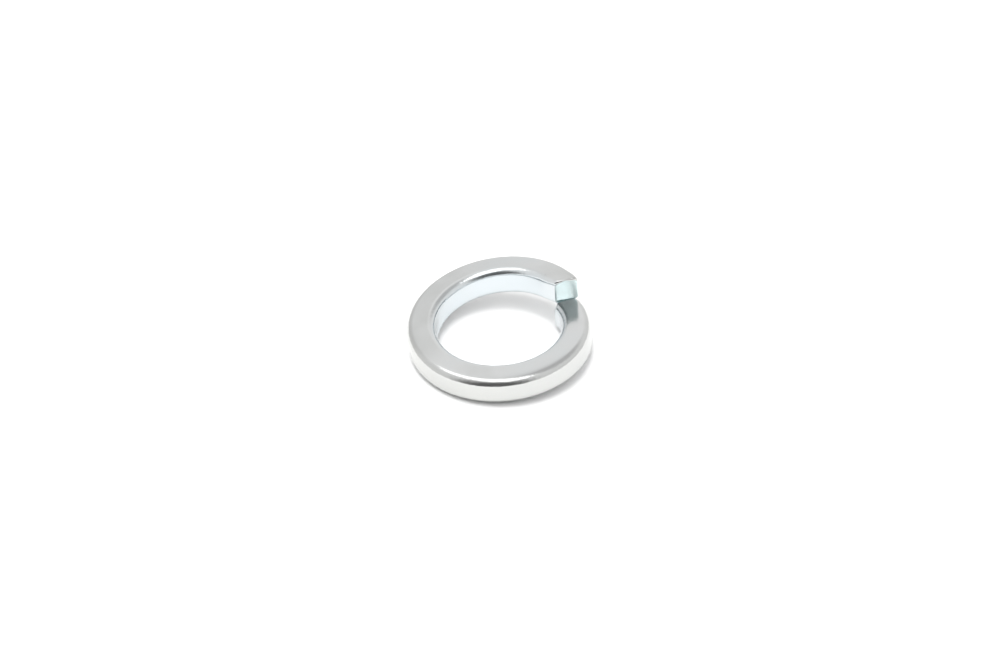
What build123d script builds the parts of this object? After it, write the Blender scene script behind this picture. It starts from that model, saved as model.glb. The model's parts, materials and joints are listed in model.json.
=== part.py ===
from build123d import *
from math import atan2, cos, degrees, hypot, pi, radians, sin, sqrt, tan
import os

# Driving sizes in millimetres: a spring lock washer for a 10 mm bolt, coiled from one length of square wire
BORE_DIAMETER = 10.7
WIRE_WIDTH = 2.55
WIRE_THICKNESS = 2.62
COIL_PITCH = 2.4
EDGE_RADIUS = 0.65
END_LAP = 0.15
BORE_SKIM = 0.005

# Driving angles in degrees: each flank's fall towards the outside, the lean of the cut faces, which leaves the raised
# end's top and the low end's foot standing out, and the place of the low end, anticlockwise from the right
FLANK_SLOPE = 3.5
CUT_LEAN = 10.0
LOW_END_ANGLE = 30.0

# Sizes that follow from the driving ones
bore_radius = BORE_DIAMETER / 2
outer_radius = bore_radius + WIRE_WIDTH
mean_radius = (bore_radius + outer_radius) / 2
flank_fall = tan(radians(FLANK_SLOPE))
cut_drift = tan(radians(CUT_LEAN))
climb = COIL_PITCH / (2 * pi)
end_rise = COIL_PITCH + climb * END_LAP / mean_radius


def half_thickness(radius):
    """Half the wire's thickness at a radius: coiling leaves the section a keystone, thicker at the bore."""
    return WIRE_THICKNESS / 2 - (radius - mean_radius) * flank_fall


def section_corner(radius, side):
    """A corner of the wire's section in the low end's cut plane, which leans back as it rises."""
    height = side * half_thickness(radius) / (1 - climb * cut_drift / radius)
    drift = -height * cut_drift
    return Vector(sqrt(radius ** 2 - drift ** 2), drift, height)


def wire_section():
    """The wire's section with rounded corners, each drawn as two arcs so that the swept faces mesh lightly."""
    wall = bore_radius - BORE_SKIM
    places = ((wall, -1), (outer_radius, -1), (outer_radius, 1), (wall, 1))
    sharp = Face(Wire.make_polygon([section_corner(radius, side) for radius, side in places], close=True))
    rounded = sharp.fillet_2d(EDGE_RADIUS, sharp.vertices())
    outline = []
    for edge in rounded.outer_wire().order_edges():
        pieces = 2 if edge.geom_type == GeomType.CIRCLE else 1
        outline += [edge.trim(piece / pieces, (piece + 1) / pieces) for piece in range(pieces)]
    return Face(Wire(outline))


def washer_on_axis():
    """The washer about its own upright axis: just over one left-hand turn of wire, its bore skimmed to a cylinder."""
    path = Helix(COIL_PITCH, end_rise, mean_radius, lefthand=True)
    coil = sweep(wire_section(), path, is_frenet=True)
    bore = Cylinder(bore_radius, end_rise + 2 * WIRE_THICKNESS)
    half_turn = Rot(0, 0, degrees(pi))
    return Rot(0, 0, LOW_END_ANGLE) * (coil - Pos(0, 0, end_rise / 2) * half_turn * bore)


def lying_at_rest(washer):
    """Tip the washer onto its low end's inner corner and the outer edge opposite, and set it on the ground."""
    low_contact = bore_radius + EDGE_RADIUS
    far_contact = outer_radius - EDGE_RADIUS
    toward_low_end = (end_rise / 2 + (far_contact - low_contact) * flank_fall) / (far_contact + low_contact)
    along_first_quarter = climb / far_contact
    tilt = degrees(atan2(hypot(toward_low_end, along_first_quarter), 1))
    contact_angle = radians(LOW_END_ANGLE) + half_thickness(low_contact) * cut_drift / low_contact
    lean = contact_angle - atan2(along_first_quarter, toward_low_end)
    tipped = washer.rotate(Axis((0, 0, 0), (sin(lean), -cos(lean), 0)), tilt)
    box = tipped.bounding_box()
    return Pos(-box.center().X, -box.center().Y, -box.min.Z) * tipped


os.makedirs("parts", exist_ok=True)
export_step(lying_at_rest(washer_on_axis()), "parts/spring_washer.step")
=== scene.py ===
import json
import math

import bpy
import numpy as np
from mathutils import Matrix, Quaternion, Vector


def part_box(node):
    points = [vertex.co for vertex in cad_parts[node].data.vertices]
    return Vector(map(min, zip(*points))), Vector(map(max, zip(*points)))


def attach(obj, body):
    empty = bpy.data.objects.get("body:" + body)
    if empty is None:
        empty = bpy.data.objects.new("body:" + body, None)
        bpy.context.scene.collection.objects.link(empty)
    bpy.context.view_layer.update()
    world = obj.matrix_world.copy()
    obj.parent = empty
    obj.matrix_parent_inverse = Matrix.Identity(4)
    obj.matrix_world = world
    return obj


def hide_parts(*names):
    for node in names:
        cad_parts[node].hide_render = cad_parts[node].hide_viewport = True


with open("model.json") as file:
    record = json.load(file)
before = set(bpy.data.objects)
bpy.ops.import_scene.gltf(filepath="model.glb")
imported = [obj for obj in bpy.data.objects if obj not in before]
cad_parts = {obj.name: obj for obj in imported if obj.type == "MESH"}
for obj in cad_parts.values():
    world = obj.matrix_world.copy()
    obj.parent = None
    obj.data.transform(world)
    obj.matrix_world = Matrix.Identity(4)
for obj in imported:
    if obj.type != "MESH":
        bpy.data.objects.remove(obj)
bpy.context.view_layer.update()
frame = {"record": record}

# The coil's sizes in metres, as in the part's source but for the walls, which stand a hair inside its facets
MM = 0.001
BORE_RADIUS = 5.355 * MM
WIRE_WIDTH = 2.54 * MM
WIRE_THICKNESS = 2.62 * MM
COIL_PITCH = 2.4 * MM
EDGE_RADIUS = 0.65 * MM
FLANK_SLOPE = math.radians(3.5)
LOW_END_ANGLE = math.radians(30.0)

# The cut, set by what its face mirrors in the photo: how far the ends lap, its lean, and its turn in plan
END_LAP = 0.29 * MM
CUT_LEAN = math.radians(8.0)
CUT_SLANT = math.radians(13.5)

# Sizes that follow from those
OUTER_RADIUS = BORE_RADIUS + WIRE_WIDTH
MEAN_RADIUS = (BORE_RADIUS + OUTER_RADIUS) / 2
TURN = 2 * math.pi + END_LAP / MEAN_RADIUS

# How finely the coil and its cut ends are divided
COIL_STEPS = 720
ARC_STEPS = 12
WALL_STEPS = 10
FLANK_STEPS = 14
ROLL_STEPS = 8
CAP_STEPS = 14

# How far the cut's edges are rolled over: all round, and how much more on each side of the two ends
EDGE_ROLL = 0.05 * MM
RAISED_ROLL = {"bore": 0.02 * MM, "top": 0.16 * MM, "outside": 0.0}
LOW_ROLL = {"bore": 0.60 * MM, "top": 0.04 * MM, "outside": 0.08 * MM}

# Over its last stretch the raised end springs a little outwards and droops, the shear has drawn in a share
# of its width on either side, and its outer corners are sharper
LAST_STRETCH = 1.6 * MM
END_SPREAD = 0.08 * MM
END_DROOP = 0.03 * MM
BORE_PINCH_SHARE = 0.20
OUTSIDE_PINCH_SHARE = 0.18
CORNER_GROWTH = 0.12 * MM
GROWTH_UP_SHARE = 0.35

# The top flank eases over into the outer edge along the front, and less along the low arm: where that
# starts, its fall for each metre squared, and the low arm's share of it
EASE_RADIUS = OUTER_RADIUS - 1.2 * MM
EASE_FALL = 120.0
LOW_ARM_SHARE = 0.5

# The room's light: each patch has a direction, the nearness where it starts and is full, and the light
# away from it and in it
ROOM_PATCHES = (
    ((-0.15, -0.95, 0.27), 0.58, 0.95, 0.93, 0.15),
    ((0.42, 0.20, 0.88), 0.80, 1.0, 1.0, 0.62),
    ((-0.60, 0.72, 0.35), 0.82, 0.98, 1.0, 0.84),
)


def smooth(share):
    """A share kept from 0 to 1 and eased at both ends."""
    share = np.clip(share, 0, 1)
    return share * share * (3 - 2 * share)


def section_outline():
    """Points (radius, height) of the rounded keystone section, anticlockwise, with their outward normals."""
    turns = (-math.pi / 2 + FLANK_SLOPE, 0, math.pi / 2 - FLANK_SLOPE, math.pi, 1.5 * math.pi + FLANK_SLOPE)
    sides = ((1, -1), (1, 1), (-1, 1), (-1, -1))
    straights = (WALL_STEPS, FLANK_STEPS, WALL_STEPS, FLANK_STEPS)
    arcs, normals = [], []
    for (outward, upward), start, end in zip(sides, turns[:-1], turns[1:]):
        radius = MEAN_RADIUS + outward * (WIRE_WIDTH / 2 - EDGE_RADIUS)
        fall = ((radius - MEAN_RADIUS) * math.sin(FLANK_SLOPE) + EDGE_RADIUS) / math.cos(FLANK_SLOPE)
        centre = np.array((radius, upward * (WIRE_THICKNESS / 2 - fall)))
        angles = np.linspace(start, end, ARC_STEPS + 1)
        facing = np.stack((np.cos(angles), np.sin(angles)), 1)
        arcs.append(centre + EDGE_RADIUS * facing)
        normals.append(facing)
    points, outward = [], []
    for place, steps in enumerate(straights):
        shares = np.linspace(0, 1, steps + 1)[1:-1, None]
        start, end = arcs[place][-1], arcs[(place + 1) % len(arcs)][0]
        points += [arcs[place], start + (end - start) * shares]
        outward += [normals[place], np.repeat(normals[place][-1:], steps - 1, 0)]
    return np.concatenate(points), np.concatenate(outward)


def near_raised_end(radius, height, wound):
    """Section points as the shear has left them over the raised end's last stretch."""
    stretch_share = np.clip(1 - (TURN - wound) * MEAN_RADIUS / LAST_STRETCH, 0, 1)
    end_share = smooth(stretch_share)
    wall_share = np.clip((radius - OUTER_RADIUS) / EDGE_RADIUS + 1, 0, 1)
    flank_share = np.clip((np.abs(height) - WIRE_THICKNESS / 2) / EDGE_RADIUS + 1, 0, 1)
    growth = CORNER_GROWTH * 2 * wall_share * flank_share * end_share
    pinch_share = np.where(radius < MEAN_RADIUS, BORE_PINCH_SHARE, OUTSIDE_PINCH_SHARE)
    pinch = pinch_share * (radius - MEAN_RADIUS) * stretch_share ** 2
    radius = radius + END_SPREAD * end_share - pinch + growth
    height = height + GROWTH_UP_SHARE * growth * np.sign(height)
    return radius, height, END_DROOP * end_share


def on_coil(section, wound):
    """Places of section points on the washer's own axis, wound that far from the low end."""
    radius, height, droop = near_raised_end(section[:, 0], section[:, 1], wound)
    drift = (MEAN_RADIUS - radius) * math.tan(CUT_SLANT) - height * math.tan(CUT_LEAN)
    shift = np.arctan2(drift, radius)
    angle = LOW_END_ANGLE + shift - wound
    rise = COIL_PITCH * (wound - shift) / (2 * math.pi) + height - droop
    front_share = smooth(0.35 - 0.8 * np.sin(angle))
    low_share = LOW_ARM_SHARE * smooth(2 - wound)
    ease_share = np.maximum(front_share, low_share) * smooth(2 * height / WIRE_THICKNESS)
    rise = rise - EASE_FALL * np.clip(radius - EASE_RADIUS, 0, None) ** 2 * ease_share
    return np.stack((radius * np.cos(angle), radius * np.sin(angle), rise), 1)


def roll_depths(outline, facing, roll):
    """How far the cut's edge is rolled over at each place round the section."""
    bore_share = smooth(-facing[:, 0])
    outside_share = smooth(facing[:, 0])
    top_share = smooth(facing[:, 1])
    corner_share = smooth(np.abs(outline[:, 0] - MEAN_RADIUS) / (WIRE_WIDTH / 2 - EDGE_RADIUS))
    sides = roll["bore"] * bore_share + roll["outside"] * outside_share
    return EDGE_ROLL + sides + roll["top"] * top_share * corner_share


def end_rings(outline, facing, roll, sign, wound_end):
    """Rings (section, wound) from the coil in to an end face, the face's middle, and the turn they take."""
    depths = roll_depths(outline, facing, roll)
    rings = []
    for step in range(ROLL_STEPS + 1):
        angle = math.pi / 2 * step / ROLL_STEPS
        inset = depths * (1 - math.cos(angle))
        back = depths * (1 - math.sin(angle)) / outline[:, 0]
        rings.append((outline - facing * inset[:, None], wound_end - sign * back))
    rim = rings[-1][0]
    middle = rim.mean(0)
    flat = np.full(len(rim), wound_end)
    for step in range(1, CAP_STEPS):
        rings.append((middle + (rim - middle) * (1 - step / CAP_STEPS), flat))
    return rings, middle, depths.max() / BORE_RADIUS


def sheet_faces(count, around):
    """Quads between the rings, and a fan at each end to its tip. The tips are the points after the rings."""
    ring, place = np.meshgrid(np.arange(count - 1), np.arange(around), indexing="ij")
    after = (place + 1) % around
    quads = np.stack((ring * around + place, ring * around + after,
                      (ring + 1) * around + after, (ring + 1) * around + place), -1).reshape(-1, 4)
    low_tip = count * around
    high_tip = low_tip + 1
    last_ring = (count - 1) * around
    fans = []
    for place in range(around):
        after = (place + 1) % around
        fans.append((low_tip, after, place))
        fans.append((last_ring + place, last_ring + after, high_tip))
    return quads.tolist() + fans


def wire_places(rings, outline):
    """Each face corner's place along and around the wire in metres, and zeros for the fans."""
    along = np.array([np.mean(wound) for section, wound in rings]) * MEAN_RADIUS
    steps = np.linalg.norm(np.roll(outline, -1, 0) - outline, axis=1)
    girth = np.concatenate(((0.0,), np.cumsum(steps)))
    ring, place = np.meshgrid(np.arange(len(rings) - 1), np.arange(len(outline)), indexing="ij")
    corners = ((ring, place), (ring, place + 1), (ring + 1, place + 1), (ring + 1, place))
    places = np.stack([np.stack((along[turn], girth[way]), -1) for turn, way in corners], -2)
    fan_corners = 6 * len(outline)
    return np.concatenate((places.reshape(-1, 2), np.zeros((fan_corners, 2))))


def surface_shares(facing, count):
    """Each point's share in a cut face, in a rounded edge and in the bore's side."""
    around = len(facing)
    cut = np.ones(count * around + 2)
    cut[CAP_STEPS * around:(count - CAP_STEPS) * around] = 0
    rounding = np.tile(2 * np.abs(facing[:, 0] * facing[:, 1]), count)
    boreward = np.tile((1 - facing[:, 0]) / 2, count)
    edge = np.concatenate((rounding, (0.0, 0.0))) * (1 - cut)
    bore = np.concatenate((boreward, (0.5, 0.5)))
    return {"cut_face": cut, "rounded_edge": edge, "bore_side": bore}


def washer_mesh():
    """The washer's points, faces, wire places and shares: one wound sheet of rings, closed at its ends."""
    outline, facing = section_outline()
    low_rings, low_middle, low_turn = end_rings(outline, facing, LOW_ROLL, -1, 0.0)
    high_rings, high_middle, high_turn = end_rings(outline, facing, RAISED_ROLL, 1, TURN)
    turns = np.linspace(low_turn, TURN - high_turn, COIL_STEPS + 1)[1:-1]
    rings = low_rings[::-1] + [(outline, wound) for wound in turns] + high_rings
    tips = [(low_middle[None, :], 0.0), (high_middle[None, :], TURN)]
    points = np.concatenate([on_coil(section, wound) for section, wound in rings + tips])
    faces = sheet_faces(len(rings), len(outline))
    return points, faces, wire_places(rings, outline), surface_shares(facing, len(rings))


def lay_down(points):
    """Turn the washer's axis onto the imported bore's axis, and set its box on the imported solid's box."""
    axis = Vector(frame["record"]["mounts"][0]["axis"])
    turn = np.array(Vector((0, 0, 1)).rotation_difference(axis).to_matrix())
    points = points @ turn.T
    low, high = (np.array(corner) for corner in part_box("spring_washer"))
    middle = (points.min(0) + points.max(0)) / 2
    shift = (low + high) / 2 - middle
    shift[2] = low[2] - points[:, 2].min()
    return points + shift


def new_node(tree, kind, **settings):
    """A new node with its settings."""
    node = tree.nodes.new(kind)
    for name, value in settings.items():
        setattr(node, name, value)
    return node


def point_share(tree, name):
    """One of the mesh's shares."""
    return new_node(tree, "ShaderNodeAttribute", attribute_name=name).outputs["Fac"]


def stretched(tree, place, scales):
    """Places with a scale of their own along each axis."""
    node = new_node(tree, "ShaderNodeMapping")
    node.inputs["Scale"].default_value = scales
    tree.links.new(place, node.inputs["Vector"])
    return node.outputs["Vector"]


def noise(tree, place, scale, detail):
    """A noise texture's value, about 0.5, over the given places."""
    node = new_node(tree, "ShaderNodeTexNoise")
    node.inputs["Scale"].default_value = scale
    node.inputs["Detail"].default_value = detail
    tree.links.new(place, node.inputs["Vector"])
    return node.outputs["Fac"]


def spread(tree, value, start, end, low, high, ease="LINEAR"):
    """A value from start to end, mapped to low to high."""
    node = new_node(tree, "ShaderNodeMapRange", interpolation_type=ease)
    for name, setting in zip(("From Min", "From Max", "To Min", "To Max"), (start, end, low, high)):
        node.inputs[name].default_value = setting
    tree.links.new(value, node.inputs["Value"])
    return node.outputs["Result"]


def combine(tree, operation, first, second):
    """Two values combined by a sum, a product or the like."""
    node = new_node(tree, "ShaderNodeMath", operation=operation)
    for place, value in enumerate((first, second)):
        tree.links.new(value, node.inputs[place])
    return node.outputs[0]


def bumped(tree, height, distance, before=None):
    """A surface direction tipped by a height in metres."""
    node = new_node(tree, "ShaderNodeBump")
    node.inputs["Distance"].default_value = distance
    tree.links.new(height, node.inputs["Height"])
    if before:
        tree.links.new(before, node.inputs["Normal"])
    return node.outputs["Normal"]


def tint_ramp(tree, value, stops):
    """A colour ramp over a value, with stops as (place, colour)."""
    node = new_node(tree, "ShaderNodeValToRGB")
    for place, colour in stops[1:-1]:
        node.color_ramp.elements.new(place)
    for stop, (place, colour) in zip(node.color_ramp.elements, stops):
        stop.position = place
        stop.color = (*colour, 1)
    tree.links.new(value, node.inputs["Fac"])
    return node.outputs["Color"]


def blend(tree, share, first, second):
    """A colour turned by a share into a second, fixed one."""
    node = new_node(tree, "ShaderNodeMix", data_type="RGBA")
    tree.links.new(share, node.inputs["Factor"])
    tree.links.new(first, node.inputs[6])
    node.inputs[7].default_value = (*second, 1)
    return node.outputs[2]


def plate_marks(tree):
    """The plate's marks: drawing lines along the wire, shear scores, grain, ripples, tint clouds and pits."""
    solid = new_node(tree, "ShaderNodeTexCoord").outputs["Object"]
    wire = new_node(tree, "ShaderNodeUVMap", uv_map="wire").outputs["UV"]
    return {
        "lines": noise(tree, stretched(tree, wire, (350, 11000, 1)), 1.0, 3.0),
        "scores": noise(tree, stretched(tree, solid, (9000, 9000, 700)), 1.0, 2.0),
        "grain": noise(tree, solid, 9000.0, 3.0),
        "ripple": noise(tree, solid, 3000.0, 2.0),
        "clouds": noise(tree, solid, 170.0, 3.0),
        "pits": spread(tree, noise(tree, solid, 5200.0, 1.0), 0.74, 0.82, 0.0, 1.0),
    }


def plate_colour(tree, marks, shares):
    """A faint patchy passivate, warmer outside and bluer in the bore, with a painted shade that darkens the
    outer side, paler cyan cut faces brightened as a painted reflection, and duller pits.
    """
    side = spread(tree, shares["bore_side"], 0.0, 1.0, 0.25, 0.75)
    film_and_outer_shade = combine(tree, "ADD", side, spread(tree, marks["clouds"], 0.3, 0.7, -0.1, 0.1))
    # The outer side's darker stops are painted shade: they dim the outer walls to stand for the weaker light
    # they mirror. Their warmth, the bore's blue and the clouds are the passivate's own tint.
    passivate_and_outer_shade = tint_ramp(tree, film_and_outer_shade, ((0.18, (0.625, 0.630, 0.612)), (0.34, (0.600, 0.607, 0.598)),
                                       (0.50, (0.715, 0.724, 0.722)), (0.80, (0.685, 0.730, 0.752))))
    # The cut faces' paler cyan colour is partly painted reflection: it brightens and tints the bright zone
    # these faces mirror.
    ends = blend(tree, shares["cut_face"], passivate_and_outer_shade, (0.765, 0.885, 0.895))
    return blend(tree, marks["pits"], ends, (0.58, 0.60, 0.60))


def plate_roughness(tree, marks, shares):
    """Semi-gloss, a little rougher along the drawing lines, on the cut faces and in the pits."""
    rough = spread(tree, marks["lines"], 0.3, 0.7, 0.10, 0.16)
    for value, start, end, low, high in (
        (marks["grain"], 0.3, 0.7, 0.03, 0.08),
        (shares["cut_face"], 0.0, 1.0, 0.0, 0.05),
        (shares["rounded_edge"], 0.0, 1.0, 0.0, -0.03),
        (marks["pits"], 0.0, 1.0, 0.0, 0.15),
    ):
        rough = combine(tree, "ADD", rough, spread(tree, value, start, end, low, high))
    return rough


def plate_relief(tree, marks, shares):
    """Lines on the drawn sides, scores on the cut faces, ripples on the rounded edges and grain all over."""
    drawn_share = spread(tree, shares["cut_face"], 0.0, 1.0, 1.0, 0.0)
    normal = bumped(tree, combine(tree, "MULTIPLY", marks["lines"], drawn_share), 1.2e-6)
    normal = bumped(tree, combine(tree, "MULTIPLY", marks["scores"], shares["cut_face"]), 2.0e-6, normal)
    normal = bumped(tree, combine(tree, "MULTIPLY", marks["ripple"], shares["rounded_edge"]), 1.8e-5, normal)
    return bumped(tree, marks["grain"], 0.6e-6, normal)


def zinc_plate():
    """Bright zinc plate over drawn wire with sheared ends."""
    material = bpy.data.materials.new("zinc_plate")
    material.use_nodes = True
    tree = material.node_tree
    shader = tree.nodes["Principled BSDF"]
    shader.inputs["Metallic"].default_value = 1.0
    marks = plate_marks(tree)
    shares = {name: point_share(tree, name) for name in ("cut_face", "rounded_edge", "bore_side")}
    tree.links.new(plate_colour(tree, marks, shares), shader.inputs["Base Color"])
    tree.links.new(plate_roughness(tree, marks, shares), shader.inputs["Roughness"])
    tree.links.new(plate_relief(tree, marks, shares), shader.inputs["Normal"])
    return material


def make_washer():
    """The plated washer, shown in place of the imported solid."""
    points, faces, wire, shares = washer_mesh()
    mesh = bpy.data.meshes.new("spring_washer_plated")
    mesh.from_pydata(lay_down(points).tolist(), [], faces)
    mesh.uv_layers.new(name="wire").data.foreach_set("uv", wire.ravel())
    for name, values in shares.items():
        mesh.attributes.new(name, "FLOAT", "POINT").data.foreach_set("value", values)
    mesh.shade_smooth()
    mesh.materials.append(zinc_plate())
    washer = bpy.data.objects.new("spring_washer_plated", mesh)
    bpy.context.scene.collection.objects.link(washer)
    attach(washer, "root")
    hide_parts("spring_washer")


def make_floor():
    """A plain pale floor."""
    size = 0.6
    corners = [(-size, -size, 0), (size, -size, 0), (size, size, 0), (-size, size, 0)]
    mesh = bpy.data.meshes.new("floor")
    mesh.from_pydata(corners, [], [(0, 1, 2, 3)])
    material = bpy.data.materials.new("pale_floor")
    material.use_nodes = True
    shader = material.node_tree.nodes["Principled BSDF"]
    shader.inputs["Base Color"].default_value = (0.9, 0.9, 0.9, 1)
    shader.inputs["Roughness"].default_value = 1.0
    shader.inputs["Specular IOR Level"].default_value = 0.0
    mesh.materials.append(material)
    floor = bpy.data.objects.new("floor", mesh)
    bpy.context.scene.collection.objects.link(floor)


def make_camera():
    """The photo's camera, as fitted to the washer's edges."""
    azimuth = math.radians(-0.335)
    elevation = math.radians(39.349)
    distance = 435.0 * MM
    across, up = 0.0389 * MM, -0.2843 * MM
    level = 2.0 * MM
    camera = bpy.data.cameras.new("camera")
    camera.sensor_width = 36.0
    camera.lens = 36.0 * 5.0686
    camera.clip_start = 0.01
    holder = bpy.data.objects.new("camera", camera)
    level_way = Vector((-math.sin(azimuth), math.cos(azimuth), 0))
    forward = level_way * math.cos(elevation) - Vector((0, 0, math.sin(elevation)))
    right = Vector((math.cos(azimuth), math.sin(azimuth), 0))
    aim = Vector((0, 0, level)) + across * right + up * right.cross(forward)
    holder.location = aim - distance * forward
    holder.rotation_euler = (math.pi / 2 - elevation, 0, azimuth)
    bpy.context.scene.collection.objects.link(holder)
    bpy.context.scene.camera = holder


def room_patch(tree, place, toward, start, end, low, high):
    """The light of one of the room's patches, by how near a direction is to the patch's own."""
    nearness = new_node(tree, "ShaderNodeVectorMath", operation="DOT_PRODUCT")
    nearness.inputs[1].default_value = Vector(toward).normalized()
    tree.links.new(place, nearness.inputs[0])
    return spread(tree, nearness.outputs["Value"], start, end, low, high, "SMOOTHSTEP")


def make_world():
    """A light room, dark in front and greyer high up and at the back left, behind a white backdrop."""
    world = bpy.data.worlds.new("studio")
    bpy.context.scene.world = world
    world.use_nodes = True
    tree = world.node_tree
    tree.nodes.clear()
    output = new_node(tree, "ShaderNodeOutputWorld")
    backdrop = new_node(tree, "ShaderNodeBackground")
    room = new_node(tree, "ShaderNodeBackground")
    for background in (backdrop, room):
        background.inputs["Color"].default_value = (1, 1, 1, 1)
    rays = new_node(tree, "ShaderNodeLightPath")
    chosen = new_node(tree, "ShaderNodeMixShader")
    tree.links.new(rays.outputs["Is Camera Ray"], chosen.inputs["Fac"])
    tree.links.new(room.outputs[0], chosen.inputs[1])
    tree.links.new(backdrop.outputs[0], chosen.inputs[2])
    tree.links.new(chosen.outputs[0], output.inputs["Surface"])
    place = new_node(tree, "ShaderNodeTexCoord").outputs["Generated"]
    light = spread(tree, rays.outputs["Is Diffuse Ray"], 0.0, 1.0, 1.0, 1.4)
    for patch in ROOM_PATCHES:
        light = combine(tree, "MULTIPLY", light, room_patch(tree, place, *patch))
    tree.links.new(light, room.inputs["Strength"])


def area_light(name, place, aim, turn, size, radiance, in_gloss):
    """A rectangular lamp at a place, facing another, turned about its own axis."""
    light = bpy.data.lights.new(name, "AREA")
    light.shape = "RECTANGLE"
    light.size, light.size_y = size
    light.energy = radiance * math.pi * size[0] * size[1]
    holder = bpy.data.objects.new(name, light)
    holder.location = place
    facing = (Vector(place) - Vector(aim)).to_track_quat("Z", "Y")
    holder.rotation_euler = (facing @ Quaternion((0, 0, 1), turn)).to_euler()
    holder.visible_glossy = in_gloss
    holder.visible_camera = False
    bpy.context.scene.collection.objects.link(holder)


def make_lights():
    """A long overhead softbox set askew, and a smaller key that the metal doesn't mirror."""
    over, under = (-0.56, -0.62, 3.0), (-0.56, -0.62, 0.0)
    area_light("overhead_softbox", over, under, math.radians(-42), (3.93, 1.94), 0.95, True)
    area_light("floor_key", (-0.3, 0.1, 3.0), (0, 0, 0), 0.0, (1.1, 1.1), 11.0, False)


make_washer()
make_floor()
make_camera()
make_world()
make_lights()
bpy.context.scene.view_settings.view_transform = "Standard"
